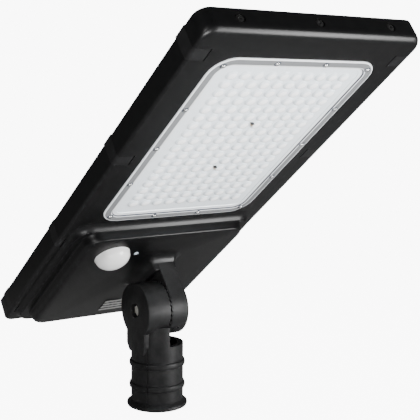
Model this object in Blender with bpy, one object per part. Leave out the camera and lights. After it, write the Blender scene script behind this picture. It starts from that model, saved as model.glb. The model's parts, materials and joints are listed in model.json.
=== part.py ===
"""Solar street lamp head on a toothed tilt adapter for a 60 mm pole.

Units are metres and +Z is up. The world origin is the centre of the socket mouth,
where the pole enters. The hinge runs along X above it. The head is built in its own
frame: x across the lamp, y towards the mounting end, z from the hinge up to the
solar panel. An empty on the hinge axis carries that frame and tilts it.
"""
import math

import bmesh
import bpy
from mathutils import Matrix, Vector

MM = 0.001
GAP = 0.3

# Socket and pole
HINGE_HEIGHT = 132.8
TUBE_R = 35.0
BORE_R = 31.0
STOP_R = 27.0
STOP_Z = 72.0
TUBE_TOP_Z = 86.2
FLANGE_R = 40.8
FLANGE_H = 9.8
RIB_HEIGHTS = (29.4, 59.9)
RIB_PROUD = 2.6
RIB_HALF = 4.6
SET_SCREW_HEIGHTS = (18.0, 44.6)
SET_SCREW_R = 4.0
GROOVE_ANGLES = (52.0, 128.0)
GROOVE_HALF_W = 0.5
NOTCH_X = -1.8
BLOCK_HALF_W = 22.5
BLOCK_X = (-34.9, -8.0)
BLOCK_DROP = (57.0, 47.0, 12.0)

# Hinge
BARREL_R = 36.5
BARREL_LEFT = -34.9
LUG_RIGHT = 26.9
FACE_GAP = 0.3
TOOTH_DEPTH = 1.4
TOOTH_COUNT = 36
TOOTH_ROOT = 6.0
TOOTH_INNER_R = 22.0
TOOTH_OUTER_R = 36.2
BODY_FACE = 1.8
BOLT_R = 4.0
BOLT_HOLE_R = 4.4
BOLT_POCKET_R = 9.5
BOLT_POCKET_FLOOR = -20.9
NUT_POCKET_FLOOR = 16.9
WASHER_R = 8.5
HEX_ACROSS_FLATS = 13.0
BOLT_HEAD_X = (-31.0, -23.0)
NUT_X = (19.0, 24.2)
FLARE_REACH = 16.0
ROOT_X = (-5.5, 29.5)
ROOT_HALF_Y = 33.0
ROOT_Z = 39.5
RIM_HOLE_R = 1.6
RIM_HOLE_X = (7.6, 15.0)
RIM_HOLE_DEG = 77.3
FAR = 50.0
CUT_OVER = 8.0
REST_TILT_DEG = 37.3

# Head casting, in the head frame
HALF_W = 146.2
Y_FAR = -469.0
Y_NEAR = 164.0
Z_UNDER = 78.5
Z_TOP = 106.5
CORNER_R = 16.0
EDGE_R = 4.0
FAR_EDGE_R = 9.0
FLOOR_T = 4.5
WALL_T = 5.0
RIM_T = 2.4
PANEL_SEAT_Z = 102.2
END_SCREW_X = (-101.0, 0.0, 101.0)
END_SCREW_Z = 94.0
END_RECESS_R = 6.0
END_RECESS_DEPTH = 2.4

# Raised shelf and electronics box on the underside
Z_SHELF = 71.0
Z_BOX = 58.5
SHELF_HALF_W = 137.2
SHELF_NEAR = 158.6
SHELF_SWEEP = (5.5, 9.0)
BOX_HALF_W = 119.0
BOX_Y = (-94.0, 142.2)
FAR_SWEEP_R = 12.0
BOX_CORNER_R = 20.0
BOX_SIDE_R = 7.0
BOX_END_R = 2.2
BOX_WALL = 3.0
ROOM_HALF_W = 111.5
ROOM_Y = (-87.0, 135.0)
ROOM_R = 14.0

# Lens
LENS_HALF_W = 111.0
LENS_Y_FAR = -428.2
LENS_Y_NEAR = -109.2
LENS_CORNER_R = 27.0
LENS_BAND = 13.0
LENS_PROUD = 1.5
LENS_RECESS = 2.2
LENS_SCREW_R = 1.8
LENS_SCREW_STEP = 73.0
LENS_SCREW_X = 33.0

# Sensor, indicator and rating plate on the box
PIR_X = -71.2
PIR_Y = -51.2
PIR_R = 23.7
PIR_H = 17.3
PIR_HOLE_R = 15.0
IND_X = -35.6
IND_Y = -50.9
IND_R = 3.1
PLATE_X = (-19.1, 50.9)
PLATE_Y = (90.1, 122.9)

# Clips
CLIP_Y = (-430.0, -245.0, -60.0, 125.0)
CLIP_W = 18.0
CLIP_T = 1.2
CLIP_FOLDS = (21.0, 21.0, 7.6, 7.6)
CLIP_LIP = 9.0
CLIP_SLOT = 1.4

# Battery
CELL_R = 15.6
CELL_LEN = 70.0
CELL_COUNT = 6
CELL_PITCH = 33.0
CELL_Z = 77.7
BATTERY_Y = 88.0

ROUND_STEPS = 40
MATERIALS = {}


def clear_scene():
    for obj in list(bpy.data.objects):
        bpy.data.objects.remove(obj, do_unlink=True)


def material(slot, colour, roughness, metallic=0.0):
    mat = bpy.data.materials.new(slot)
    mat.use_nodes = True
    shader = mat.node_tree.nodes["Principled BSDF"]
    shader.inputs["Base Color"].default_value = (*colour, 1.0)
    shader.inputs["Roughness"].default_value = roughness
    shader.inputs["Metallic"].default_value = metallic
    MATERIALS[slot] = mat


def make_materials():
    material("black_powder_coat", (0.018, 0.018, 0.019), 0.42, 0.0)
    material("clip_black", (0.02, 0.02, 0.021), 0.5, 0.0)
    material("lens_polycarbonate", (0.82, 0.86, 0.88), 0.08, 0.0)
    material("gasket_rubber", (0.03, 0.03, 0.03), 0.8, 0.0)
    material("board_white", (0.85, 0.86, 0.86), 0.5, 0.0)
    material("board_green", (0.02, 0.13, 0.05), 0.5, 0.0)
    material("zinc_steel", (0.62, 0.62, 0.6), 0.35, 1.0)
    material("stainless_steel", (0.6, 0.6, 0.6), 0.3, 1.0)
    material("black_screw", (0.05, 0.05, 0.05), 0.35, 1.0)
    material("sensor_white", (0.82, 0.82, 0.79), 0.35, 0.0)
    material("indicator_blue", (0.45, 0.62, 0.75), 0.2, 0.0)
    material("panel_glass", (0.55, 0.6, 0.65), 0.05, 0.0)
    material("solar_cells", (0.01, 0.015, 0.05), 0.25, 0.2)
    material("backsheet_white", (0.8, 0.8, 0.8), 0.6, 0.0)
    material("cell_wrap_blue", (0.03, 0.12, 0.4), 0.4, 0.0)
    material("holder_black", (0.03, 0.03, 0.03), 0.6, 0.0)
    material("plate_silver", (0.6, 0.6, 0.6), 0.4, 0.6)


def corner_arc(cx, cy, radius, start, steps):
    points = []
    for i in range(steps + 1):
        a = start + math.pi / 2 * i / steps
        points.append((cx + radius * math.cos(a), cy + radius * math.sin(a)))
    return points


def rounded_rect(x0, x1, y0, y1, radius, steps=6):
    points = corner_arc(x1 - radius, y1 - radius, radius, 0.0, steps)
    points += corner_arc(x0 + radius, y1 - radius, radius, math.pi / 2, steps)
    points += corner_arc(x0 + radius, y0 + radius, radius, math.pi, steps)
    points += corner_arc(x1 - radius, y0 + radius, radius, 1.5 * math.pi, steps)
    return points


def circle(radius, count, cx=0.0, cy=0.0, phase=0.0):
    points = []
    for i in range(count):
        a = phase + 2 * math.pi * i / count
        points.append((cx + radius * math.cos(a), cy + radius * math.sin(a)))
    return points


def hexagon(across_flats):
    return circle(across_flats / 2 / math.cos(math.pi / 6), 6)


def mesh_from_rings(name, rings, closed_loop=False):
    """Skin a stack of equal rings of points; cap both ends unless the stack closes."""
    bm = bmesh.new()
    rows = []
    for ring in rings:
        rows.append([bm.verts.new(Vector(p) * MM) for p in ring])
    count = len(rows[0])
    pairs = list(zip(rows[:-1], rows[1:]))
    if closed_loop:
        pairs.append((rows[-1], rows[0]))
    for lower, upper in pairs:
        for i in range(count):
            j = (i + 1) % count
            bm.faces.new((lower[i], lower[j], upper[j], upper[i]))
    if not closed_loop:
        bm.faces.new(list(reversed(rows[0])))
        bm.faces.new(rows[-1])
    bmesh.ops.recalc_face_normals(bm, faces=bm.faces)
    mesh = bpy.data.meshes.new(name)
    bm.to_mesh(mesh)
    bm.free()
    return mesh


def add_object(name, mesh, slot=None, parent=None):
    obj = bpy.data.objects.new(name, mesh)
    bpy.context.collection.objects.link(obj)
    if slot:
        mesh.materials.clear()
        mesh.materials.append(MATERIALS[slot])
    if parent:
        obj.parent = parent
    return obj


def loft(name, layers):
    """Solid from (outline, z) layers, each outline with the same number of points."""
    rings = [[(x, y, z) for x, y in outline] for outline, z in layers]
    return mesh_from_rings(name, rings)


def lathe(name, profile, steps=ROUND_STEPS, ring=False):
    """Solid of revolution about Z from (radius, z) pairs; ring=True closes the profile."""
    rings = []
    for radius, z in profile:
        rings.append([(x, y, z) for x, y in circle(radius, steps)])
    return mesh_from_rings(name, rings, closed_loop=ring)


def turn_to_x(mesh):
    mesh.transform(Matrix.Rotation(math.pi / 2, 4, "Y"))


def move(mesh, x=0.0, y=0.0, z=0.0):
    mesh.transform(Matrix.Translation(Vector((x, y, z)) * MM))


def bake(target, cutter, operation):
    """Apply one exact boolean to target and remove the cutter."""
    mod = target.modifiers.new("op", "BOOLEAN")
    mod.operation = operation
    mod.solver = "EXACT"
    mod.object = cutter
    graph = bpy.context.evaluated_depsgraph_get()
    result = bpy.data.meshes.new_from_object(target.evaluated_get(graph))
    target.modifiers.clear()
    old = target.data
    target.data = result
    bpy.data.meshes.remove(old)
    bpy.data.objects.remove(cutter, do_unlink=True)


def join(target, mesh):
    bake(target, add_object("joined", mesh), "UNION")


def cut(target, mesh):
    bake(target, add_object("cutter", mesh), "DIFFERENCE")


def finish(obj, slot, parent, angle=35.0):
    obj.data.name = obj.name
    obj.data.materials.clear()
    obj.data.materials.append(MATERIALS[slot])
    for poly in obj.data.polygons:
        poly.material_index = 0
    if parent:
        obj.parent = parent
    obj.data.shade_smooth()
    obj.data.set_sharp_from_angle(angle=math.radians(angle))
    return obj


def toothed_disc(name, face, back, valley):
    """Disc about X with radial teeth: crests at face, roots at valley, flat at back."""
    count = TOOTH_COUNT * 2
    crest = [face if i % 2 == 0 else valley for i in range(count)]

    def ring(radius, xs):
        flat = circle(radius, count)
        return [(x, p[0], p[1]) for x, p in zip(xs, flat)]

    rings = [
        ring(TOOTH_OUTER_R, [back] * count),
        ring(TOOTH_OUTER_R, crest),
        ring(TOOTH_INNER_R, crest),
    ]
    return mesh_from_rings(name, rings)


def bolt_hole(length_from, length_to, radius, steps=24):
    mesh = lathe("hole", [(radius, length_from), (radius, length_to)], steps)
    turn_to_x(mesh)
    return mesh


# ---------------------------------------------------------------- socket side

def socket_tube():
    """Flange, two round ribs and the tube as one turned profile."""
    profile = [
        (FLANGE_R - 3.2, 0.0),
        (FLANGE_R - 0.9, 1.1),
        (FLANGE_R, 3.4),
        (FLANGE_R - 0.5, 5.6),
        (TUBE_R + 1.2, FLANGE_H - 1.0),
        (TUBE_R, FLANGE_H),
    ]
    for height in RIB_HEIGHTS:
        for i in range(5):
            a = math.pi * i / 4
            profile.append((TUBE_R + RIB_PROUD * math.sin(a), height - RIB_HALF * math.cos(a)))
    profile.append((TUBE_R, HINGE_HEIGHT - 20.0))
    return lathe("tube", profile)


def lug_notch():
    """Everything above the sleeve on the lug side, cut back so the lug can swing."""
    outline = rounded_rect(NOTCH_X, 60.0, -60.0, 60.0, 1.0, 1)
    return loft("notch", [(outline, TUBE_TOP_Z), (outline, HINGE_HEIGHT + 60.0)])


def barrel_block():
    """Flat-sided block that carries the barrel on the bolt side."""
    left, right = BLOCK_X
    foot, shoulder, top = BLOCK_DROP
    small = rounded_rect(left + 1.3, right, -BLOCK_HALF_W + 4.5, BLOCK_HALF_W - 4.5, 2.0, 2)
    full = rounded_rect(left, right, -BLOCK_HALF_W, BLOCK_HALF_W, 2.0, 2)
    return loft("block", [(small, HINGE_HEIGHT - foot), (full, HINGE_HEIGHT - shoulder),
                          (full, HINGE_HEIGHT - top)])


def barrel():
    mesh = lathe("barrel", [
        (BARREL_R - 1.1, BARREL_LEFT),
        (BARREL_R - 0.3, BARREL_LEFT + 0.4),
        (BARREL_R, BARREL_LEFT + 1.3),
        (BARREL_R, -BODY_FACE - 0.5),
        (BARREL_R - 0.5, -BODY_FACE),
    ], 48)
    turn_to_x(mesh)
    move(mesh, z=HINGE_HEIGHT)
    return mesh


def cut_bores(obj):
    """Pole bore up to the stop, and the narrower opening above it on the lug side."""
    cut(obj, lathe("bore", [(BORE_R + 1.2, -1.0), (BORE_R, 1.2), (BORE_R, STOP_Z)]))
    cut(obj, lathe("upper", [(STOP_R, STOP_Z - 4.0), (STOP_R, HINGE_HEIGHT - 52.0)]))
    mouth = [(x, y) for x, y in circle(STOP_R, ROUND_STEPS) if x > 2.0]
    cut(obj, loft("mouth", [(mouth, STOP_Z + 4.0), (mouth, TUBE_TOP_Z + 5.0)]))


def cut_grooves(obj):
    """Fine mould line down the front left and the back left of the tube."""
    outline = rounded_rect(-GROOVE_HALF_W, GROOVE_HALF_W, TUBE_R - 0.8, TUBE_R + 4.5, 0.2, 1)
    for angle in GROOVE_ANGLES:
        mesh = loft("groove", [(outline, -2.0), (outline, HINGE_HEIGHT - 46.0)])
        mesh.transform(Matrix.Rotation(math.radians(angle), 4, "Z"))
        cut(obj, mesh)


def build_socket():
    obj = add_object("pole_socket", socket_tube())
    cut(obj, lug_notch())
    join(obj, barrel_block())
    join(obj, barrel())
    teeth = toothed_disc("teeth", -FACE_GAP, -TOOTH_ROOT, -FACE_GAP - TOOTH_DEPTH)
    move(teeth, z=HINGE_HEIGHT)
    join(obj, teeth)
    cut_bores(obj)
    cut_grooves(obj)
    for height in SET_SCREW_HEIGHTS:
        hole = lathe("hole", [(SET_SCREW_R + GAP, 24.0), (SET_SCREW_R + GAP, FAR)], 20)
        hole.transform(Matrix.Rotation(-math.pi / 2, 4, "X"))
        move(hole, z=height)
        cut(obj, hole)
    hole = bolt_hole(-FAR, 10.0, BOLT_HOLE_R)
    move(hole, z=HINGE_HEIGHT)
    cut(obj, hole)
    pocket = bolt_hole(-FAR, BOLT_POCKET_FLOOR, BOLT_POCKET_R, 32)
    move(pocket, z=HINGE_HEIGHT)
    cut(obj, pocket)
    finish(obj, "black_powder_coat", None)


def build_set_screws():
    for index, height in enumerate(SET_SCREW_HEIGHTS):
        mesh = lathe("screw", [
            (SET_SCREW_R - 1.0, BORE_R + 0.5),
            (SET_SCREW_R, BORE_R + 1.5),
            (SET_SCREW_R, BORE_R + 8.6),
            (SET_SCREW_R - 0.6, BORE_R + 9.2),
        ], 20)
        mesh.transform(Matrix.Rotation(-math.pi / 2, 4, "X"))
        move(mesh, z=height)
        obj = add_object("set_screw_%d" % index, mesh)
        socket = loft("socket", [
            (hexagon(4.0), BORE_R + 5.5),
            (hexagon(4.0), BORE_R + 14.0),
        ])
        socket.transform(Matrix.Rotation(-math.pi / 2, 4, "X"))
        move(socket, z=height)
        cut(obj, socket)
        finish(obj, "zinc_steel", None)


def build_bolt():
    outer, inner = BOLT_HEAD_X
    mesh = loft("head", [(hexagon(HEX_ACROSS_FLATS - 1.0), outer),
                         (hexagon(HEX_ACROSS_FLATS), outer + 0.6),
                         (hexagon(HEX_ACROSS_FLATS), inner)])
    turn_to_x(mesh)
    obj = add_object("pivot_bolt", mesh)
    shank = bolt_hole(inner - 2.0, NUT_X[1], BOLT_R, 24)
    join(obj, shank)
    move(obj.data, z=HINGE_HEIGHT)
    finish(obj, "zinc_steel", None)


def build_washer(name, near, far, parent, lift):
    mesh = lathe("washer", [
        (BOLT_HOLE_R, near),
        (WASHER_R, near),
        (WASHER_R, far),
        (BOLT_HOLE_R, far),
    ], 28, ring=True)
    turn_to_x(mesh)
    move(mesh, z=lift)
    finish(add_object(name, mesh), "zinc_steel", parent)


def build_nut(parent):
    inner, outer = NUT_X
    mesh = loft("nut", [(hexagon(HEX_ACROSS_FLATS), inner),
                        (hexagon(HEX_ACROSS_FLATS), outer - 0.6),
                        (hexagon(HEX_ACROSS_FLATS - 1.0), outer)])
    turn_to_x(mesh)
    obj = add_object("pivot_nut", mesh)
    cut(obj, bolt_hole(10.0, 30.0, BOLT_HOLE_R, 24))
    finish(obj, "zinc_steel", parent)


# ------------------------------------------------------------------ head side

def tray_outline(inset, far_inset=None):
    far = inset if far_inset is None else far_inset
    return rounded_rect(-HALF_W + inset, HALF_W - inset, Y_FAR + far, Y_NEAR - inset,
                        CORNER_R - inset)


def fillet_inset(radius, height):
    """How far a quarter round of this radius stands back at a height above the flat."""
    if height >= radius:
        return 0.0
    return radius - math.sqrt(radius ** 2 - (radius - height) ** 2)


def tray_shell():
    """Tray with a wide round edge at the far end and a tighter one on the other sides."""
    layers = [(tray_outline(0.8), Z_TOP), (tray_outline(0.0), Z_TOP - 0.8)]
    for height in (FAR_EDGE_R, 6.6, 4.6, EDGE_R, 2.8, 1.6, 0.7, 0.2, 0.0):
        outline = tray_outline(fillet_inset(EDGE_R, height), fillet_inset(FAR_EDGE_R, height))
        layers.append((outline, Z_UNDER + height))
    return loft("tray", layers)


def box_outline(x_inset, y_inset, radius):
    """Plan of the box's face, with separate insets for its long sides and its ends."""
    return rounded_rect(-BOX_HALF_W + x_inset, BOX_HALF_W - x_inset,
                        BOX_Y[0] + y_inset, BOX_Y[1] - y_inset, radius)


def far_edge(z):
    """Where the box's far wall stands at z, with a wide hollow sweep up to the underside."""
    drop = Z_UNDER - 0.2 - z
    wall = BOX_Y[0] - 0.4
    if drop <= 0.0:
        return wall - FAR_SWEEP_R
    return wall - fillet_inset(FAR_SWEEP_R, drop)


def shelf_layers():
    """Hollow sweep from the tray's underside to the shelf, on three sides of the box."""
    across, along = SHELF_SWEEP
    top = Z_UNDER - 0.2
    layers = [(rounded_rect(-SHELF_HALF_W, SHELF_HALF_W, far_edge(top), SHELF_NEAR, 27.0),
               Z_UNDER + 2.0)]
    steps = 4
    for i in range(steps + 1):
        a = math.pi / 2 * i / steps
        x = SHELF_HALF_W - across * math.sin(a)
        z = top - (top - Z_SHELF) * (1 - math.cos(a))
        near = SHELF_NEAR - along * math.sin(a)
        layers.append((rounded_rect(-x, x, far_edge(z), near, 27.0 - across * math.sin(a)), z))
    return layers


def box_shell():
    """Shelf and electronics box, one stack from the tray floor to the box face."""
    layers = shelf_layers()
    for x_out, y_out, height in ((2.2, 4.2, 0.0), (1.5, 3.5, -0.7), (1.0, 2.8, -2.0)):
        outline = rounded_rect(-BOX_HALF_W - x_out, BOX_HALF_W + x_out,
                               far_edge(Z_SHELF + height) + 0.2, BOX_Y[1] + y_out,
                               BOX_CORNER_R + x_out)
        layers.append((outline, Z_SHELF + height))
    for height in (BOX_SIDE_R, 4.6, BOX_END_R, 1.0, 0.4, 0.0):
        x_inset = fillet_inset(BOX_SIDE_R, height)
        y_inset = fillet_inset(BOX_END_R, height)
        layers.append((box_outline(x_inset, y_inset, BOX_CORNER_R - y_inset), Z_BOX + height))
    return loft("box", layers)


def arm_prism():
    """Flat lug: half round at the hinge end, straight sides up into the box."""
    layers = []
    for x, inset in ((BODY_FACE, 0.6), (BODY_FACE + 0.6, 0.0),
                     (LUG_RIGHT - 1.2, 0.0), (LUG_RIGHT - 0.3, 0.4), (LUG_RIGHT, 1.3)):
        radius = BARREL_R - inset
        outline = []
        for i in range(25):
            a = math.pi + math.pi * i / 24
            outline.append((x, radius * math.cos(a), radius * math.sin(a)))
        outline.append((x, ROOT_HALF_Y - inset, Z_BOX + 2.0))
        outline.append((x, -ROOT_HALF_Y + inset, Z_BOX + 2.0))
        layers.append(outline)
    return mesh_from_rings("arm", layers)


def arm_root():
    """Wider block that carries the lug, just clear of the fixed barrel."""
    outline = rounded_rect(*ROOT_X, -ROOT_HALF_Y - 0.6, ROOT_HALF_Y + 0.6, 2.0, 3)
    lower = rounded_rect(ROOT_X[0] + 0.8, ROOT_X[1] - 0.8, -ROOT_HALF_Y, ROOT_HALF_Y, 1.6, 3)
    return loft("root", [(lower, ROOT_Z), (outline, ROOT_Z + 0.8), (outline, Z_BOX + 2.0)])


def arm_flare():
    """Wide concave skirt that rounds the lug's root into the box face."""
    steps = 7
    outlines = []
    for i in range(-1, steps + 1):
        a = math.pi / 2 * max(i, 0) / steps
        spread = FLARE_REACH * (1 - math.sin(a)) - 0.5
        z = Z_BOX - FLARE_REACH * (1 - math.cos(a)) if i >= 0 else Z_BOX + 2.0
        outline = rounded_rect(ROOT_X[0] - spread, ROOT_X[1] + spread,
                               -ROOT_HALF_Y - spread, ROOT_HALF_Y + spread, 2.0 + spread, 4)
        outlines.append((outline, z))
    return loft("flare", outlines)


def lens_screw_points():
    """Fourteen screws on the middle of the lens rim."""
    mid = LENS_BAND / 2
    half = LENS_HALF_W - mid
    far = LENS_Y_FAR + mid
    near = LENS_Y_NEAR - mid
    centre = (LENS_Y_FAR + LENS_Y_NEAR) / 2
    diagonal = (LENS_CORNER_R - mid) * math.sin(math.pi / 4)
    points = []
    for sx in (-1, 1):
        for corner_y, sy in ((LENS_Y_FAR + LENS_CORNER_R, -1), (LENS_Y_NEAR - LENS_CORNER_R, 1)):
            x = sx * (LENS_HALF_W - LENS_CORNER_R + diagonal)
            points.append((x, corner_y + sy * diagonal))
        for step in (-1, 0, 1):
            points.append((sx * half, centre + step * LENS_SCREW_STEP))
        points.append((sx * LENS_SCREW_X, far))
        points.append((sx * LENS_SCREW_X, near))
    return points


def lens_outline(inset):
    return rounded_rect(-LENS_HALF_W + inset, LENS_HALF_W - inset, LENS_Y_FAR + inset,
                        LENS_Y_NEAR - inset, LENS_CORNER_R - inset)


def z_hole(radius, z0, z1, x, y, steps=14):
    mesh = lathe("hole", [(radius, z0), (radius, z1)], steps)
    move(mesh, x, y)
    return mesh


def hollow_housing(obj):
    """Tray cavity, rebate for the panel, and the hollow of the box."""
    cut(obj, loft("cavity", [(tray_outline(WALL_T), Z_UNDER + FLOOR_T),
                             (tray_outline(WALL_T), Z_TOP + 5.0)]))
    cut(obj, loft("rebate", [(tray_outline(RIM_T), PANEL_SEAT_Z),
                             (tray_outline(RIM_T), Z_TOP + 5.0)]))
    room = rounded_rect(-ROOM_HALF_W, ROOM_HALF_W, *ROOM_Y, ROOM_R)
    cut(obj, loft("room", [(room, Z_BOX + BOX_WALL), (room, Z_UNDER + FLOOR_T + 6.0)]))


def cut_lens_seat(obj):
    """Recess for the lens, the opening behind it and its screw holes."""
    cut(obj, loft("recess", [(lens_outline(-GAP), Z_UNDER - 5.0),
                             (lens_outline(-GAP), Z_UNDER + LENS_RECESS)]))
    cut(obj, loft("window", [(lens_outline(LENS_BAND), Z_UNDER - 5.0),
                             (lens_outline(LENS_BAND), Z_UNDER + 12.0)]))
    for x, y in lens_screw_points():
        cut(obj, z_hole(LENS_SCREW_R, Z_UNDER - 5.0, Z_UNDER + 12.0, x, y, 8))


def cut_clip_pockets(obj):
    """Shallow seats round the edge of the tray, so that the clips lie flush with it."""
    half = CLIP_W / 2 + GAP
    for side in (-1, 1):
        for y, fold in zip(CLIP_Y, CLIP_FOLDS):
            rings = []
            for end in (-half, half):
                rings.append([(side * x, y + end, z) for x, z in seat_section(fold)])
            cut(obj, mesh_from_rings("seat", rings))


def cut_end_recesses(obj):
    """Screw recesses in the far end wall."""
    for x in END_SCREW_X:
        for radius, depth in ((END_RECESS_R, END_RECESS_DEPTH), (1.9, 12.0)):
            mesh = lathe("hole", [(radius, -5.0), (radius, depth)], 16)
            mesh.transform(Matrix.Rotation(-math.pi / 2, 4, "X"))
            move(mesh, x, Y_FAR, END_SCREW_Z)
            cut(obj, mesh)


def cut_rim_holes(obj):
    """Two small blind holes in the lug's round edge, low on the far side."""
    for x in RIM_HOLE_X:
        mesh = lathe("hole", [(RIM_HOLE_R, BARREL_R - 3.0), (RIM_HOLE_R, FAR)], 12)
        mesh.transform(Matrix.Rotation(math.radians(90.0 + RIM_HOLE_DEG), 4, "X"))
        move(mesh, x)
        cut(obj, mesh)


def build_housing(head):
    obj = add_object("housing", tray_shell())
    join(obj, box_shell())
    join(obj, arm_prism())
    join(obj, arm_root())
    join(obj, arm_flare())
    join(obj, toothed_disc("teeth", FACE_GAP, TOOTH_ROOT, FACE_GAP + TOOTH_DEPTH))
    hollow_housing(obj)
    cut_lens_seat(obj)
    cut(obj, z_hole(PIR_HOLE_R, Z_BOX - 5.0, Z_BOX + 6.0, PIR_X, PIR_Y, 32))
    cut(obj, z_hole(IND_R + GAP, Z_BOX - 5.0, Z_BOX + 6.0, IND_X, IND_Y, 20))
    cut_clip_pockets(obj)
    cut_end_recesses(obj)
    cut_rim_holes(obj)
    cut(obj, bolt_hole(-10.0, FAR, BOLT_HOLE_R))
    cut(obj, bolt_hole(NUT_POCKET_FLOOR, FAR, BOLT_POCKET_R, 32))
    finish(obj, "black_powder_coat", head)


def build_lens(head):
    top = Z_UNDER - LENS_PROUD
    seat = Z_UNDER + LENS_RECESS - GAP
    obj = add_object("lens_cover", loft("lens", [
        (lens_outline(0.0), seat),
        (lens_outline(0.0), top + 0.8),
        (lens_outline(0.8), top),
        (lens_outline(LENS_BAND - 1.5), top),
        (lens_outline(LENS_BAND + 1.0), top + 1.8),
    ]))
    for x, y in lens_screw_points():
        cut(obj, z_hole(LENS_SCREW_R, top - 3.0, seat + 3.0, x, y, 8))
        cut(obj, z_hole(3.7, top - 3.0, top + 1.6, x, y, 12))
    finish(obj, "lens_polycarbonate", head)


def build_lens_screws(head):
    top = Z_UNDER - LENS_PROUD
    for index, (x, y) in enumerate(lens_screw_points()):
        mesh = lathe("screw", [
            (2.2, top + 0.1),
            (3.1, top + 0.5),
            (3.1, top + 1.3),
            (1.4, top + 1.31),
            (1.4, Z_UNDER + FLOOR_T + 1.5),
        ], 8)
        move(mesh, x, y)
        obj = add_object("lens_screw_%02d" % index, mesh)
        drive = loft("drive", [(hexagon(2.0), top - 1.0), (hexagon(2.0), top + 0.8)])
        move(drive, x, y)
        cut(obj, drive)
        finish(obj, "stainless_steel", head)


def build_led_board(head):
    low = Z_UNDER + FLOOR_T + GAP
    board = rounded_rect(-98.0, 98.0, LENS_Y_FAR + 17.0, LENS_Y_NEAR - 17.0, 12.0, 3)
    obj = add_object("led_board", loft("board", [(board, low + 1.8), (board, low + 3.6)]))
    finish(obj, "board_white", head)
    ring_out = lens_outline(LENS_BAND - 2.0)
    ring_in = lens_outline(LENS_BAND - 0.5)
    rings = []
    for outline, z in ((ring_out, low + 0.0), (ring_out, low + 1.5),
                       (ring_in, low + 1.5), (ring_in, low + 0.0)):
        rings.append([(x, y, z) for x, y in outline])
    finish(add_object("lens_gasket", mesh_from_rings("gasket", rings, closed_loop=True)),
           "gasket_rubber", head)


def build_sensor(head):
    outer = []
    inner = []
    for i in range(7):
        a = math.pi / 2 * i / 6
        outer.append((max(PIR_R * math.cos(a), 0.6), -PIR_H * math.sin(a)))
        inner.append((max((PIR_R - 1.6) * math.cos(a), 0.4), -(PIR_H - 1.6) * math.sin(a)))
    profile = [(r, z - GAP) for r, z in outer]
    obj = add_object("pir_dome", lathe("dome", profile, 32))
    cut(obj, lathe("hollow", [(inner[0][0], 1.0)] + [(r, z - GAP) for r, z in inner], 32))
    move(obj.data, PIR_X, PIR_Y, Z_BOX)
    finish(obj, "sensor_white", head, 60.0)

    base = Z_BOX + BOX_WALL + GAP
    mesh = lathe("sensor", [(4.6, base - 5.0), (4.6, base), (18.0, base), (18.0, base + 1.6)], 24)
    move(mesh, PIR_X, PIR_Y)
    finish(add_object("pir_board", mesh), "board_green", head)

    mesh = lathe("lens", [(IND_R - 0.9, Z_BOX - 0.6), (IND_R - 0.1, Z_BOX - 0.3),
                          (IND_R, Z_BOX + 3.0)], 20)
    move(mesh, IND_X, IND_Y)
    finish(add_object("indicator_lens", mesh), "indicator_blue", head)


def build_panel(head):
    inset = RIM_T + GAP
    z = PANEL_SEAT_Z + GAP
    layers = (("panel_backsheet", 0.6, "backsheet_white", inset),
              ("solar_cells", 0.4, "solar_cells", inset + 6.0),
              ("panel_glass", 2.4, "panel_glass", inset))
    for name, thick, slot, edge in layers:
        outline = tray_outline(edge)
        mesh = loft(name, [(outline, z), (outline, z + thick)])
        finish(add_object(name, mesh), slot, head)
        z += thick + 0.05


def edge_corner(inset):
    """Quarter round of the tray's lower edge, seen along the tray and set in by inset."""
    steps = 4
    radius = EDGE_R - inset
    points = []
    for i in range(steps + 1):
        a = math.pi / 2 * i / steps
        points.append((HALF_W - EDGE_R + radius * math.cos(a),
                       Z_UNDER + EDGE_R - radius * math.sin(a)))
    return points


def seat_section(fold):
    """What is cut from the tray's edge for a clip: its seat, and room for it to go in."""
    depth = CLIP_T + GAP
    end = HALF_W - fold - CLIP_SLOT
    top = Z_TOP + 1.0
    outside = [(end, Z_UNDER + depth), (end, Z_UNDER - CUT_OVER),
               (HALF_W + CUT_OVER, Z_UNDER - CUT_OVER), (HALF_W + CUT_OVER, top)]
    return outside + [(HALF_W - depth, top)] + edge_corner(depth)


def clip_section(fold_length):
    """Strap flush in the tray's edge, with a lip over the panel side."""
    high = Z_TOP + GAP
    lip = HALF_W - CLIP_LIP
    fold = HALF_W - fold_length
    inside = list(reversed(edge_corner(CLIP_T)))
    over_panel = [(HALF_W - CLIP_T, high), (lip, high), (lip, high + CLIP_T),
                  (HALF_W - 1.0, high + CLIP_T), (HALF_W, high + 0.4)]
    return edge_corner(0.0) + [(fold, Z_UNDER), (fold, Z_UNDER + CLIP_T)] + inside + over_panel


def build_clips(head):
    places = [(side, y, fold) for side in (-1, 1) for y, fold in zip(CLIP_Y, CLIP_FOLDS)]
    for index, (side, y, fold) in enumerate(places):
        rings = []
        for end in (-CLIP_W / 2, CLIP_W / 2):
            rings.append([(side * x, y + end, z) for x, z in clip_section(fold)])
        mesh = mesh_from_rings("clip", rings)
        finish(add_object("clip_%d" % index, mesh), "clip_black", head)


def build_end_screws(head):
    for index, x in enumerate(END_SCREW_X):
        mesh = lathe("screw", [
            (3.6, 0.5), (5.0, 1.0), (5.0, 2.0), (1.6, 2.01), (1.6, 9.0),
        ], 18)
        obj = add_object("end_screw_%d" % index, mesh)
        cut(obj, loft("drive", [(hexagon(3.4), -1.0), (hexagon(3.4), 1.4)]))
        obj.data.transform(Matrix.Rotation(-math.pi / 2, 4, "X"))
        move(obj.data, x, Y_FAR, END_SCREW_Z)
        finish(obj, "black_screw", head)


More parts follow.
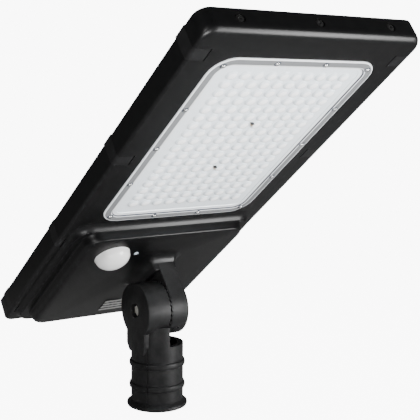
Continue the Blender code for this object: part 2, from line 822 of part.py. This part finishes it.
def build_battery(head):
    first = -CELL_PITCH * (CELL_COUNT - 1) / 2
    for index in range(CELL_COUNT):
        mesh = lathe("cell", [
            (CELL_R - 0.8, -CELL_LEN / 2),
            (CELL_R, -CELL_LEN / 2 + 0.8),
            (CELL_R, CELL_LEN / 2 - 0.8),
            (CELL_R - 0.8, CELL_LEN / 2),
        ], 16)
        mesh.transform(Matrix.Rotation(math.pi / 2, 4, "X"))
        move(mesh, first + CELL_PITCH * index, BATTERY_Y, CELL_Z)
        finish(add_object("battery_cell_%d" % index, mesh), "cell_wrap_blue", head)
    half = CELL_PITCH * CELL_COUNT / 2
    for index, side in enumerate((-1, 1)):
        start = BATTERY_Y + side * (CELL_LEN / 2 + GAP)
        end = start + side * 2.0
        outline = rounded_rect(-half, half, min(start, end), max(start, end), 0.6, 1)
        mesh = loft("end", [(outline, CELL_Z - 15.5), (outline, CELL_Z + 15.5)])
        finish(add_object("battery_end_%d" % index, mesh), "holder_black", head)


def build_controller(head):
    low = Z_BOX + BOX_WALL + GAP
    board = rounded_rect(-20.0, 92.0, -66.0, 10.0, 2.0, 2)
    obj = add_object("controller_board", loft("board", [(board, low + 5.0), (board, low + 6.6)]))
    for x, y in ((-14.0, -60.0), (86.0, -60.0), (-14.0, 4.0), (86.0, 4.0)):
        join(obj, z_hole(3.0, low, low + 5.8, x, y, 10))
    blocks = ((0.0, 26.0, -50.0, -30.0, 12.0), (40.0, 60.0, -50.0, -20.0, 9.0),
              (66.0, 82.0, -30.0, -6.0, 15.0), (6.0, 20.0, -16.0, -4.0, 7.0))
    for x0, x1, y0, y1, tall in blocks:
        shape = rounded_rect(x0, x1, y0, y1, 1.0, 1)
        join(obj, loft("block", [(shape, low + 6.0), (shape, low + 6.6 + tall)]))
    finish(obj, "board_green", head)


def build_rating_plate(head):
    outline = rounded_rect(*PLATE_X, *PLATE_Y, 1.0, 2)
    mesh = loft("plate", [(outline, Z_BOX - GAP - 0.5), (outline, Z_BOX - GAP)])
    finish(add_object("rating_plate", mesh), "plate_silver", head)


def main():
    clear_scene()
    make_materials()
    head = bpy.data.objects.new("head_frame", None)
    bpy.context.collection.objects.link(head)
    head.location = (0.0, 0.0, HINGE_HEIGHT * MM)
    head.rotation_euler = (-math.radians(REST_TILT_DEG), 0.0, 0.0)
    build_socket()
    build_set_screws()
    build_bolt()
    build_washer("pivot_washer_0", BOLT_POCKET_FLOOR - GAP - 1.5, BOLT_POCKET_FLOOR - GAP,
                 None, HINGE_HEIGHT)
    build_washer("pivot_washer_1", NUT_POCKET_FLOOR + GAP, NUT_POCKET_FLOOR + GAP + 1.4, head, 0.0)
    build_nut(head)
    build_housing(head)
    build_lens(head)
    build_lens_screws(head)
    build_led_board(head)
    build_sensor(head)
    build_panel(head)
    build_clips(head)
    build_end_screws(head)
    build_battery(head)
    build_controller(head)
    build_rating_plate(head)


main()
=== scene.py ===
"""Solar street lamp: materials, fine pieces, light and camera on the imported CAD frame."""
import json
import math

import bmesh
import bpy
from mathutils import Matrix, Vector


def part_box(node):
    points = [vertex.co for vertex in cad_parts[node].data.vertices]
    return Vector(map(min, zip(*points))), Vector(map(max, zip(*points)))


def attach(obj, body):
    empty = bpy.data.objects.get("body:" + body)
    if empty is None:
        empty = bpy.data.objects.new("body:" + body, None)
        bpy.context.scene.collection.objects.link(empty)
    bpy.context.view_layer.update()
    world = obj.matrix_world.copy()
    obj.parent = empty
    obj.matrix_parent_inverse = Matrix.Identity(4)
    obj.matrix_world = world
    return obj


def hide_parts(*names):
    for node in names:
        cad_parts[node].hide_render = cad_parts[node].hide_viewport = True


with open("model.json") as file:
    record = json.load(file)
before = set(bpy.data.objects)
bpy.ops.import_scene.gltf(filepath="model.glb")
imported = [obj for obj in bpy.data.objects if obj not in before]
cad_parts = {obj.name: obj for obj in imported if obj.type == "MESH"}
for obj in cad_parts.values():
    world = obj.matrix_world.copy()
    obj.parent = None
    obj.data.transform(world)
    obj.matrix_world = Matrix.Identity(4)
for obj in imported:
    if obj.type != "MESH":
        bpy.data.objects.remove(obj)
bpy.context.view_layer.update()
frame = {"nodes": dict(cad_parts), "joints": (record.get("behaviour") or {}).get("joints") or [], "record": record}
NODES = frame["nodes"]
HINGE = Vector(frame["joints"][0]["pos_m"])
REST_TILT = math.radians(37.3)
HEAD = Matrix.Translation(HINGE) @ Matrix.Rotation(-REST_TILT, 4, "X")
MM = 0.001

# The pieces are drawn in the head's own frame, in millimetres from the hinge:
# x across, y towards the mounting end, z from the hinge up to the panel.

# Lens sheet
LENS_HALF_W = 111.0
LENS_FAR = -428.2
LENS_NEAR = -109.2
LENS_CORNER = 27.0
LENS_BAND = 13.0
LENS_TOP = 77.0
LENS_SEAT = 80.4
LENS_FIELD = 79.4

# Light sources and the domes over them
LED_PITCH_X = 17.11
LED_PITCH_Y = 14.84
LED_COLUMNS = 10
LED_ROWS = 18
LED_CENTRE_Y = -273.0
LED_BOARD = 85.1
DOME_R = 7.2
DOME_H = 3.2
DOME_STEPS = 6
BOARD_SCREWS = ((1.0, -314.0), (0.0, -224.5))

# Motion sensor on the face of the electronics box
BOX_FACE = 58.5
PIR_X = -71.2
PIR_Y = -51.2
PIR_R = 23.7
PIR_H = 17.3
PIR_FOOT = 1.6
PIR_STEPS = 20

# Solar cells under the panel glass
PANEL_FAR = -467.0
PANEL_NEAR = 164.0
CELL_COLUMNS = 4
CELL_ROWS = 9
CELL_SIZE = 65.0
CELL_CUT = 5.0
CELL_PITCH = 68.0
CELL_LOW = 103.15
CELL_T = 0.25
BUS_OFFSET = 16.0
BUS_HALF_W = 0.8

# Studio, metres
FLOOR_Z = -0.001
FLOOR_RADII = (0.02, 0.5, 1.0, 1.6, 2.4)
FLOOR_SIDES = 64
WHITE = 9.0
FILL = 0.09
LIGHT_TARGET = (0.0, -0.1, 0.3)
LIGHTS = (
    # name, place, width, height, watts
    ("key", (0.95, -1.35, 0.02), 0.55, 1.0, 58.0),
    ("front", (-0.75, -1.35, -0.40), 0.7, 0.5, 43.0),
    ("side", (-1.25, -1.0, 0.62), 0.3, 0.4, 9.0),
    ("top", (-0.5, 0.9, 2.4), 1.8, 1.8, 14.0),
)
CAMERA_AZ = math.radians(-34.73)
CAMERA_EL = math.radians(7.21)
CAMERA_ROLL = math.radians(-0.53)
CAMERA_DISTANCE = 1.3124
CAMERA_TARGET = Vector((0.0843, 0.0, HINGE.z + 0.1260))
CAMERA_LENS = 82.07
CAMERA_SENSOR = 36.0


# ------------------------------------------------------------------ mesh helpers

def arc(cx, cy, radius, start, steps):
    """Points of a quarter circle."""
    points = []
    for i in range(steps + 1):
        a = start + math.pi / 2 * i / steps
        points.append((cx + radius * math.cos(a), cy + radius * math.sin(a)))
    return points


def rounded(x0, x1, y0, y1, radius, steps=12):
    """Outline of a rectangle with rounded corners."""
    points = arc(x1 - radius, y1 - radius, radius, 0.0, steps)
    points += arc(x0 + radius, y1 - radius, radius, math.pi / 2, steps)
    points += arc(x0 + radius, y0 + radius, radius, math.pi, steps)
    points += arc(x1 - radius, y0 + radius, radius, 1.5 * math.pi, steps)
    return points


def circle(radius, count):
    turn = 2 * math.pi / count
    return [(radius * math.cos(turn * i), radius * math.sin(turn * i)) for i in range(count)]


def spread(count, pitch):
    """Places at an even pitch on both sides of zero."""
    return [(i - (count - 1) / 2) * pitch for i in range(count)]


def flat_rings(layers, x=0.0, y=0.0):
    """Rings from (outline, height) pairs, moved to x, y."""
    return [[(px + x, py + y, z) for px, py in outline] for outline, z in layers]


def turned(profile, sides, x=0.0, y=0.0):
    """Rings of a turned shape from (radius, height) pairs."""
    return flat_rings([(circle(r, sides), z) for r, z in profile], x, y)


def add_rings(bm, rings, slot=0, bands=None):
    """Skin a stack of rings into bm and close its ends; bands gives each strip its own material slot."""
    rows = [[bm.verts.new(Vector(p) * MM) for p in ring] for ring in rings]
    count = len(rows[0])
    for index, (low, high) in enumerate(zip(rows[:-1], rows[1:])):
        for i in range(count):
            j = (i + 1) % count
            face = bm.faces.new((low[i], low[j], high[j], high[i]))
            face.material_index = bands[index] if bands else slot
    for row in (list(reversed(rows[0])), rows[-1]):
        face = bm.faces.new(row)
        face.material_index = slot


def piece(name, bm, mats, body, place, angle=40.0):
    """Finish bm as an object that is moved to place and rides on a body."""
    bmesh.ops.recalc_face_normals(bm, faces=bm.faces)
    mesh = bpy.data.meshes.new(name)
    bm.to_mesh(mesh)
    bm.free()
    mesh.transform(place)
    for mat in mats:
        mesh.materials.append(mat)
    mesh.shade_smooth()
    mesh.set_sharp_from_angle(angle=math.radians(angle))
    obj = bpy.data.objects.new(name, mesh)
    bpy.context.scene.collection.objects.link(obj)
    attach(obj, body)
    return obj


# --------------------------------------------------------------------- materials

def grey(value):
    return (value, value, value)


def new_material(name):
    mat = bpy.data.materials.new(name)
    mat.use_nodes = True
    return mat, mat.node_tree.nodes, mat.node_tree.links, mat.node_tree.nodes["Principled BSDF"]


def noise(nodes, links, scale, detail=4.0, rough=0.5):
    """A noise field fixed to the object."""
    coord = nodes.new("ShaderNodeTexCoord")
    tex = nodes.new("ShaderNodeTexNoise")
    tex.inputs["Scale"].default_value = scale
    tex.inputs["Detail"].default_value = detail
    tex.inputs["Roughness"].default_value = rough
    links.new(coord.outputs["Object"], tex.inputs["Vector"])
    return tex.outputs["Fac"]


def stripes(nodes, links, direction, scale):
    """Even bands along one axis of the object."""
    coord = nodes.new("ShaderNodeTexCoord")
    wave = nodes.new("ShaderNodeTexWave")
    wave.wave_type = "BANDS"
    wave.bands_direction = direction
    wave.inputs["Scale"].default_value = scale
    links.new(coord.outputs["Object"], wave.inputs["Vector"])
    return wave.outputs["Fac"]


def ramp(nodes, links, source, stops):
    """Turn a field into colours between (position, colour) stops."""
    node = nodes.new("ShaderNodeValToRGB")
    elements = node.color_ramp.elements
    while len(elements) < len(stops):
        elements.new(0.5)
    for element, (pos, colour) in zip(elements, stops):
        element.position = pos
        element.color = (*colour, 1.0)
    links.new(source, node.inputs["Fac"])
    return node.outputs["Color"]


def bump(nodes, links, shader, source, strength, distance):
    node = nodes.new("ShaderNodeBump")
    node.inputs["Strength"].default_value = strength
    node.inputs["Distance"].default_value = distance
    links.new(source, node.inputs["Height"])
    links.new(node.outputs["Normal"], shader.inputs["Normal"])


def blend_colours(nodes, links, mask, first, second):
    """First where the mask is 0, second where it is 1."""
    mix = nodes.new("ShaderNodeMix")
    mix.data_type = "RGBA"
    links.new(mask, mix.inputs[0])
    links.new(first, mix.inputs[6])
    links.new(second, mix.inputs[7])
    return mix.outputs[2]


def mask_near(nodes, links, centre, inner, outer):
    """1 within inner metres of a point of the object, fading to 0 at outer."""
    coord = nodes.new("ShaderNodeTexCoord")
    reach = nodes.new("ShaderNodeVectorMath")
    reach.operation = "DISTANCE"
    reach.inputs[1].default_value = centre
    links.new(coord.outputs["Object"], reach.inputs[0])
    return ramp(nodes, links, reach.outputs["Value"], [(inner, grey(1.0)), (outer, grey(0.0))])


def grained(name, dark, light, rough_low, rough_high, scale, strength=0.25, distance=0.0002,
            metallic=0.0, specular=0.5):
    """A finish whose colour varies broadly, and whose roughness and relief vary finely."""
    mat, nodes, links, shader = new_material(name)
    broad = noise(nodes, links, scale * 0.12, 3.0)
    fine = noise(nodes, links, scale, 5.0, 0.6)
    links.new(ramp(nodes, links, broad, [(0.35, dark), (0.7, light)]), shader.inputs["Base Color"])
    rough = ramp(nodes, links, fine, [(0.3, grey(rough_low)), (0.7, grey(rough_high))])
    links.new(rough, shader.inputs["Roughness"])
    shader.inputs["Metallic"].default_value = metallic
    shader.inputs["Specular IOR Level"].default_value = specular
    bump(nodes, links, shader, fine, strength, distance)
    return mat


def plastic(name, colour, roughness, transmission=0.0):
    """Smooth plastic or glass with a faint cloudiness."""
    mat, nodes, links, shader = new_material(name)
    fine = noise(nodes, links, 120.0, 3.0)
    stops = [(0.3, tuple(c * 0.96 for c in colour)), (0.7, colour)]
    links.new(ramp(nodes, links, fine, stops), shader.inputs["Base Color"])
    shader.inputs["Roughness"].default_value = roughness
    shader.inputs["Transmission Weight"].default_value = transmission
    shader.inputs["IOR"].default_value = 1.49
    return mat


def cell_material():
    """Dark blue silicon with fine silver fingers."""
    mat, nodes, links, shader = new_material("silicon")
    fingers = stripes(nodes, links, "X", 160.0)
    stops = [(0.0, (0.006, 0.010, 0.035)), (0.9, (0.008, 0.014, 0.05)), (0.97, (0.12, 0.13, 0.16))]
    links.new(ramp(nodes, links, fingers, stops), shader.inputs["Base Color"])
    shader.inputs["Roughness"].default_value = 0.22
    return mat


def plate_material():
    """Satin silver label with rows of marks too small to read."""
    mat, nodes, links, shader = new_material("rating_plate")
    rows = stripes(nodes, links, "Z", 62.0)
    words = noise(nodes, links, 190.0, 1.0)
    both = nodes.new("ShaderNodeMath")
    both.operation = "MULTIPLY"
    links.new(rows, both.inputs[0])
    links.new(words, both.inputs[1])
    stops = [(0.26, (0.46, 0.46, 0.45)), (0.32, grey(0.05))]
    links.new(ramp(nodes, links, both.outputs[0], stops), shader.inputs["Base Color"])
    shader.inputs["Roughness"].default_value = 0.4
    shader.inputs["Metallic"].default_value = 0.5
    return mat


COAT_DARK = (0.0025, 0.0025, 0.0027)
COAT_LIGHT = (0.0038, 0.0038, 0.0040)
CAST_DARK = (0.0095, 0.0095, 0.0098)
CAST_LIGHT = (0.0180, 0.0180, 0.0184)


def housing_material():
    """Satin powder coat that turns rougher and greyer on the cast arm round the hinge."""
    mat, nodes, links, shader = new_material("housing_coat")
    arm = mask_near(nodes, links, HINGE, 0.056, 0.066)
    broad = noise(nodes, links, 110.0, 3.0)
    fine = noise(nodes, links, 1300.0, 3.0, 0.6)
    grain = noise(nodes, links, 520.0, 5.0, 0.65)
    flat_colour = ramp(nodes, links, broad, [(0.35, COAT_DARK), (0.7, COAT_LIGHT)])
    arm_colour = ramp(nodes, links, grain, [(0.35, CAST_DARK), (0.7, CAST_LIGHT)])
    links.new(blend_colours(nodes, links, arm, flat_colour, arm_colour), shader.inputs["Base Color"])
    flat_rough = ramp(nodes, links, fine, [(0.3, grey(0.30)), (0.7, grey(0.40))])
    arm_rough = ramp(nodes, links, grain, [(0.3, grey(0.40)), (0.7, grey(0.55))])
    links.new(blend_colours(nodes, links, arm, flat_rough, arm_rough), shader.inputs["Roughness"])
    shader.inputs["Specular IOR Level"].default_value = 0.25
    relief = blend_colours(nodes, links, arm, fine, grain)
    bump(nodes, links, shader, relief, 0.3, 0.00012)
    return mat


COAT = grained("powder_coat", (0.0065, 0.0065, 0.0068), (0.009, 0.009, 0.0094), 0.30, 0.40, 900.0,
               distance=0.00010, specular=0.22)
HOUSING = housing_material()
CAST = grained("cast_coat", CAST_DARK, CAST_LIGHT, 0.40, 0.55, 600.0,
               strength=0.35, distance=0.00014, specular=0.26)
BLACK_SCREW = grained("black_screw", grey(0.03), grey(0.05), 0.22, 0.34, 500.0,
                      strength=0.15, distance=0.0001, metallic=0.7)
CLIP = grained("clip_paint", (0.007, 0.007, 0.0073), (0.010, 0.010, 0.0104), 0.28, 0.38, 700.0,
               strength=0.2, distance=0.0001, specular=0.22)
ZINC = grained("zinc_plate", (0.56, 0.55, 0.50), (0.74, 0.73, 0.68), 0.28, 0.45, 500.0,
               strength=0.2, distance=0.0001, metallic=0.6)
STEEL = grained("stainless", grey(0.55), grey(0.7), 0.18, 0.3, 500.0,
                strength=0.15, distance=0.0001, metallic=1.0)
BRASS = grained("board_screw", (0.62, 0.50, 0.36), (0.75, 0.62, 0.46), 0.25, 0.35, 400.0,
                strength=0.1, distance=0.0001, metallic=1.0)
RUBBER = grained("rubber", grey(0.02), grey(0.035), 0.7, 0.85, 600.0)
BOARD = grained("board_white", (0.80, 0.82, 0.83), (0.88, 0.90, 0.91), 0.4, 0.5, 300.0, 0.1)
GREEN = grained("board_green", (0.01, 0.10, 0.035), (0.02, 0.15, 0.06), 0.3, 0.45, 400.0)
WRAP = grained("cell_wrap", (0.02, 0.09, 0.34), (0.03, 0.13, 0.42), 0.25, 0.35, 200.0, 0.1)
HOLDER = grained("holder", grey(0.02), grey(0.035), 0.5, 0.65, 500.0)
BACKSHEET = grained("backsheet", (0.74, 0.75, 0.75), (0.80, 0.81, 0.81), 0.5, 0.6, 300.0, 0.1)
LED_CHIP = grained("led_chip", (0.86, 0.80, 0.52), (0.92, 0.88, 0.66), 0.3, 0.4, 300.0, 0.05)
PLATE = plate_material()
PIR_SKIN = grained("sensor_skin", (0.86, 0.855, 0.84), (0.93, 0.925, 0.91), 0.16, 0.24, 300.0, 0.1)
LENS_RIM = plastic("lens_rim", (0.17, 0.175, 0.18), 0.16)
# Painted shade: the lens field and the dome sides, a greyer copy of the dome tops' colour
SHADED_LENS_FIELD = plastic("lens_field_painted_shade", (0.78, 0.83, 0.87), 0.12)
# Painted highlight: the bright lines along the rim's cut edges
HIGHLIT_LENS_EDGE = plastic("lens_edge_painted_highlight", (0.74, 0.76, 0.78), 0.10)
# Painted shade: the dark inner step of the rim and the dark rings round its screws
LENS_PAINTED_SHADE = plastic("lens_painted_shade", (0.06, 0.065, 0.08), 0.2)
# Painted highlight: the bright white tops of the domes
HIGHLIT_DOME_TOP = plastic("dome_top_painted_highlight", (0.98, 0.99, 1.00), 0.14)
INDICATOR = plastic("indicator", (0.66, 0.76, 0.84), 0.12)
GLASS = plastic("panel_glass", (0.96, 0.97, 0.98), 0.03, 1.0)
SILICON = cell_material()

# The record's material slots and their finishes; two castings have a finish of their own
CAD_MATERIALS = {
    "black_powder_coat": COAT,
    "clip_black": CLIP,
    "zinc_steel": ZINC,
    "stainless_steel": STEEL,
    "black_screw": BLACK_SCREW,
    "gasket_rubber": RUBBER,
    "board_white": BOARD,
    "board_green": GREEN,
    "cell_wrap_blue": WRAP,
    "holder_black": HOLDER,
    "backsheet_white": BACKSHEET,
    "plate_silver": PLATE,
    "sensor_white": PIR_SKIN,
    "lens_polycarbonate": SHADED_LENS_FIELD,
    "indicator_blue": INDICATOR,
    "panel_glass": GLASS,
    "solar_cells": SILICON,
}
SPECIAL_NODES = {"pole_socket": CAST, "housing": HOUSING}


def dress_cad_nodes():
    """Give every CAD node its finish, smooth curved faces and crisp edges."""
    slots = {s["node"]: s["material_slot"] for s in frame["record"]["subparts"]}
    for name, obj in NODES.items():
        obj.data.materials.clear()
        obj.data.materials.append(SPECIAL_NODES.get(name) or CAD_MATERIALS[slots[name]])
        weld = obj.modifiers.new("weld", "WELD")
        weld.merge_threshold = 0.01 * MM
        split = obj.modifiers.new("edges", "EDGE_SPLIT")
        split.split_angle = math.radians(30.0)
        obj.data.shade_smooth()


# ------------------------------------------------------------------------ pieces

# Rim band, then painted shade for the field, painted highlight for the cut edges, painted shade for the step and
# painted highlight for the dome tops
LENS_MATS = [LENS_RIM, SHADED_LENS_FIELD, HIGHLIT_LENS_EDGE, LENS_PAINTED_SHADE, HIGHLIT_DOME_TOP]
BAND, FIELD_SHADE, EDGE_HIGHLIGHT, STEP_SHADE, DOME_HIGHLIGHT = range(len(LENS_MATS))


def lens_outline(inset):
    return rounded(-LENS_HALF_W + inset, LENS_HALF_W - inset, LENS_FAR + inset, LENS_NEAR - inset,
                   LENS_CORNER - inset)


def lens_rim(bm):
    """The sheet's rim: cut edges painted bright as highlights, a grey band between them and an inner step painted
    dark as shade.
    """
    layers = [
        # inset from the outline, height, material of the strip that starts here
        # The bright edge strips are painted highlight and the dark step strip is painted shade
        (0.0, LENS_SEAT, EDGE_HIGHLIGHT),
        (0.0, LENS_TOP + 0.6, EDGE_HIGHLIGHT),
        (0.9, LENS_TOP, EDGE_HIGHLIGHT),
        (1.7, LENS_TOP, BAND),
        (LENS_BAND - 3.6, LENS_TOP, EDGE_HIGHLIGHT),
        (LENS_BAND - 2.5, LENS_TOP + 0.3, STEP_SHADE),
        (LENS_BAND - 1.3, LENS_TOP + 1.5, EDGE_HIGHLIGHT),
        (LENS_BAND - 0.2, LENS_FIELD - 0.6, EDGE_HIGHLIGHT),
        (LENS_BAND + 0.9, LENS_FIELD - 0.7, FIELD_SHADE),
        (LENS_BAND + 3.4, LENS_FIELD - 0.7, FIELD_SHADE),
        (LENS_BAND + 3.9, LENS_FIELD, FIELD_SHADE),
    ]
    rings = flat_rings([(lens_outline(inset), z) for inset, z, slot in layers])
    add_rings(bm, rings, slot=FIELD_SHADE, bands=[slot for inset, z, slot in layers[:-1]])


def led_places():
    for y in spread(LED_ROWS, LED_PITCH_Y):
        for x in spread(LED_COLUMNS, LED_PITCH_X):
            yield x, LED_CENTRE_Y + y


def build_lens():
    """Milky sheet with a raised rim, and over each light source a dome whose top is painted brighter as a
    highlight, while its sides and the field between the domes are painted greyer as shade.
    """
    bm = bmesh.new()
    lens_rim(bm)
    dome = []
    for i in range(DOME_STEPS + 1):
        a = math.pi / 2 * i / DOME_STEPS
        dome.append((max(DOME_R * math.cos(a), 0.15), LENS_FIELD + 0.05 - DOME_H * math.sin(a)))
    half = DOME_STEPS // 2
    for x, y in led_places():
        # Lower half of each dome in the painted-shade field colour, upper half in the painted-highlight white
        add_rings(bm, turned(dome, 16, x, y), slot=DOME_HIGHLIGHT, bands=[FIELD_SHADE] * half + [DOME_HIGHLIGHT] * half)
    obj = piece("lens_moulding", bm, LENS_MATS, "head", HEAD, 50.0)
    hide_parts("lens_cover")


def build_lens_screws():
    """A bright pan head at each of the rim's screws, sitting in a ring painted dark as the shade of the rim's
    notch.
    """
    heads = bmesh.new()
    seats = bmesh.new()
    # The seat ring is painted dark as the shade in the rim's notch
    shade_ring = [(3.9, LENS_TOP + 0.4), (3.9, LENS_TOP - 0.12), (3.4, LENS_TOP - 0.2)]
    head = [(2.5, LENS_TOP), (2.5, LENS_TOP - 0.9), (2.0, LENS_TOP - 1.5), (1.0, LENS_TOP - 1.8)]
    for name in sorted(NODES):
        if not name.startswith("lens_screw"):
            continue
        low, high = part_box(name)
        centre = (HEAD.inverted() @ ((low + high) / 2)) / MM
        add_rings(seats, turned(shade_ring, 20, centre.x, centre.y))
        add_rings(heads, turned(head, 20, centre.x, centre.y))
    piece("rim_screw_shade_rings", seats, [LENS_PAINTED_SHADE], "head", HEAD)
    piece("rim_screw_heads", heads, [STEEL], "head", HEAD)


def build_board_screws():
    """Two small screws that hold the light board, each beside a dark slot between the domes."""
    heads = bmesh.new()
    seats = bmesh.new()
    low = LENS_FIELD - DOME_H
    slot = rounded(-2.4, 2.4, -0.45, 0.45, 0.4, 3)
    head = [(1.5, LENS_FIELD), (1.5, low + 0.3), (0.8, low + 0.1)]
    for x, y in BOARD_SCREWS:
        add_rings(seats, flat_rings([(slot, LENS_FIELD), (slot, low + 0.1)], x, y))
        add_rings(heads, turned(head, 16, x + 0.6, y + 2.6))
    piece("board_screw_seats", seats, [HOLDER], "head", HEAD)
    piece("board_screw_heads", heads, [BRASS], "head", HEAD)


def build_leds():
    """A pale yellow chip with a raised face on the light board under each dome."""
    bm = bmesh.new()
    body = rounded(-1.75, 1.75, -1.75, 1.75, 0.3, 2)
    face = rounded(-1.3, 1.3, -1.3, 1.3, 0.5, 2)
    layers = [(body, LED_BOARD - 0.05), (body, LED_BOARD - 0.7), (face, LED_BOARD - 0.75)]
    for x, y in led_places():
        add_rings(bm, flat_rings(layers, x, y))
    piece("led_chips", bm, [LED_CHIP], "head", HEAD)


def build_pir():
    """Domed sensor window with a ring foot."""
    bm = bmesh.new()
    profile = [(PIR_R, -0.3), (PIR_R, -1.2), (PIR_R - 0.35, -PIR_FOOT)]
    for i in range(1, PIR_STEPS + 1):
        a = math.pi / 2 * i / PIR_STEPS
        r = (PIR_R - 0.6) * math.cos(a)
        z = -PIR_FOOT - (PIR_H - PIR_FOOT) * math.sin(a)
        profile.append((max(r, 0.2), z))
    add_rings(bm, turned([(r, BOX_FACE + z) for r, z in profile], 48, PIR_X, PIR_Y))
    obj = piece("sensor_window", bm, [PIR_SKIN], "head", HEAD, 60.0)
    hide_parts("pir_dome")


def build_cells():
    """Square cells with cut corners, and two bus bars along each column of cells."""
    bm = bmesh.new()
    middle = (PANEL_FAR + PANEL_NEAR) / 2
    half = CELL_SIZE / 2
    shape = rounded(-half, half, -half, half, CELL_CUT, 1)
    cell = [(shape, CELL_LOW), (shape, CELL_LOW + CELL_T)]
    for x in spread(CELL_COLUMNS, CELL_PITCH):
        for y in spread(CELL_ROWS, CELL_PITCH):
            add_rings(bm, flat_rings(cell, x, middle + y), slot=0)
    reach = CELL_ROWS / 2 * CELL_PITCH - 1.0
    strip = rounded(-BUS_HALF_W, BUS_HALF_W, middle - reach, middle + reach, BUS_HALF_W / 2, 2)
    bar = [(strip, CELL_LOW + 0.22), (strip, CELL_LOW + 0.36)]
    for x in spread(CELL_COLUMNS, CELL_PITCH):
        for side in (-1, 1):
            add_rings(bm, flat_rings(bar, x + side * BUS_OFFSET), slot=1)
    obj = piece("cell_array", bm, [SILICON, STEEL], "head", HEAD)
    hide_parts("solar_cells")


# ------------------------------------------------------------------ room and view

def area_light(name, place, width, height, power):
    data = bpy.data.lights.new(name, "AREA")
    data.shape = "RECTANGLE"
    data.size = width
    data.size_y = height
    data.energy = power
    obj = bpy.data.objects.new(name, data)
    obj.location = place
    aim = Vector(LIGHT_TARGET) - Vector(place)
    obj.rotation_euler = aim.to_track_quat("-Z", "Y").to_euler()
    bpy.context.scene.collection.objects.link(obj)


def floor_material():
    """Pale matt floor that fades out away from the lamp and glows to the camera like a light table."""
    mat, nodes, links, shader = new_material("pale_floor")
    coord = nodes.new("ShaderNodeTexCoord")
    length = nodes.new("ShaderNodeVectorMath")
    length.operation = "LENGTH"
    links.new(coord.outputs["Object"], length.inputs[0])
    fade = ramp(nodes, links, length.outputs["Value"], [(0.45, grey(1.0)), (0.95, grey(0.0))])
    links.new(fade, shader.inputs["Alpha"])
    shader.inputs["Base Color"].default_value = (*grey(0.82), 1.0)
    shader.inputs["Roughness"].default_value = 0.9
    shader.inputs["Specular IOR Level"].default_value = 0.1
    clear = nodes.new("ShaderNodeBsdfTransparent")
    glow = nodes.new("ShaderNodeEmission")
    glow.inputs["Strength"].default_value = 2.0 * WHITE
    fading_glow = nodes.new("ShaderNodeMixShader")
    links.new(fade, fading_glow.inputs["Fac"])
    links.new(clear.outputs[0], fading_glow.inputs[1])
    links.new(glow.outputs[0], fading_glow.inputs[2])
    seen = nodes.new("ShaderNodeMixShader")
    seen.inputs["Fac"].default_value = 0.5
    links.new(shader.outputs[0], seen.inputs[1])
    links.new(fading_glow.outputs[0], seen.inputs[2])
    path = nodes.new("ShaderNodeLightPath")
    switch = nodes.new("ShaderNodeMixShader")
    links.new(path.outputs["Is Camera Ray"], switch.inputs["Fac"])
    links.new(shader.outputs[0], switch.inputs[1])
    links.new(seen.outputs[0], switch.inputs[2])
    links.new(switch.outputs[0], nodes["Material Output"].inputs["Surface"])
    return mat


def build_floor():
    """A round floor under the lamp."""
    bm = bmesh.new()
    rings = []
    for radius in FLOOR_RADII:
        outline = [(x * radius, y * radius, FLOOR_Z) for x, y in circle(1.0, FLOOR_SIDES)]
        rings.append([bm.verts.new(point) for point in outline])
    bm.faces.new(rings[0])
    for inner, outer in zip(rings[:-1], rings[1:]):
        for i in range(FLOOR_SIDES):
            j = (i + 1) % FLOOR_SIDES
            bm.faces.new((inner[i], outer[i], outer[j], inner[j]))
    mesh = bpy.data.meshes.new("floor")
    bm.to_mesh(mesh)
    bm.free()
    mesh.materials.append(floor_material())
    obj = bpy.data.objects.new("floor", mesh)
    bpy.context.scene.collection.objects.link(obj)


def build_camera():
    data = bpy.data.cameras.new("camera")
    data.lens = CAMERA_LENS
    data.sensor_width = CAMERA_SENSOR
    data.dof.use_dof = False
    obj = bpy.data.objects.new("camera", data)
    back = Vector((math.sin(CAMERA_AZ) * math.cos(CAMERA_EL),
                   -math.cos(CAMERA_AZ) * math.cos(CAMERA_EL), math.sin(CAMERA_EL)))
    turn = (-back).to_track_quat("-Z", "Y").to_matrix().to_4x4()
    obj.matrix_world = (Matrix.Translation(CAMERA_TARGET + back * CAMERA_DISTANCE) @ turn
                        @ Matrix.Rotation(-CAMERA_ROLL, 4, "Z"))
    bpy.context.scene.collection.objects.link(obj)
    bpy.context.scene.camera = obj


def build_world():
    """A white room to the camera, and a dim even fill to everything it lights."""
    world = bpy.data.worlds.new("room")
    world.use_nodes = True
    nodes = world.node_tree.nodes
    links = world.node_tree.links
    fill = nodes["Background"]
    fill.inputs["Color"].default_value = (*grey(1.0), 1.0)
    fill.inputs["Strength"].default_value = FILL
    white = nodes.new("ShaderNodeBackground")
    white.inputs["Color"].default_value = (*grey(1.0), 1.0)
    white.inputs["Strength"].default_value = WHITE
    path = nodes.new("ShaderNodeLightPath")
    switch = nodes.new("ShaderNodeMixShader")
    links.new(path.outputs["Is Camera Ray"], switch.inputs["Fac"])
    links.new(fill.outputs[0], switch.inputs[1])
    links.new(white.outputs[0], switch.inputs[2])
    links.new(switch.outputs[0], nodes["World Output"].inputs["Surface"])
    bpy.context.scene.world = world


dress_cad_nodes()
build_lens()
build_lens_screws()
build_board_screws()
build_leds()
build_pir()
build_cells()
build_camera()
build_world()
build_floor()
for light in LIGHTS:
    area_light(*light)
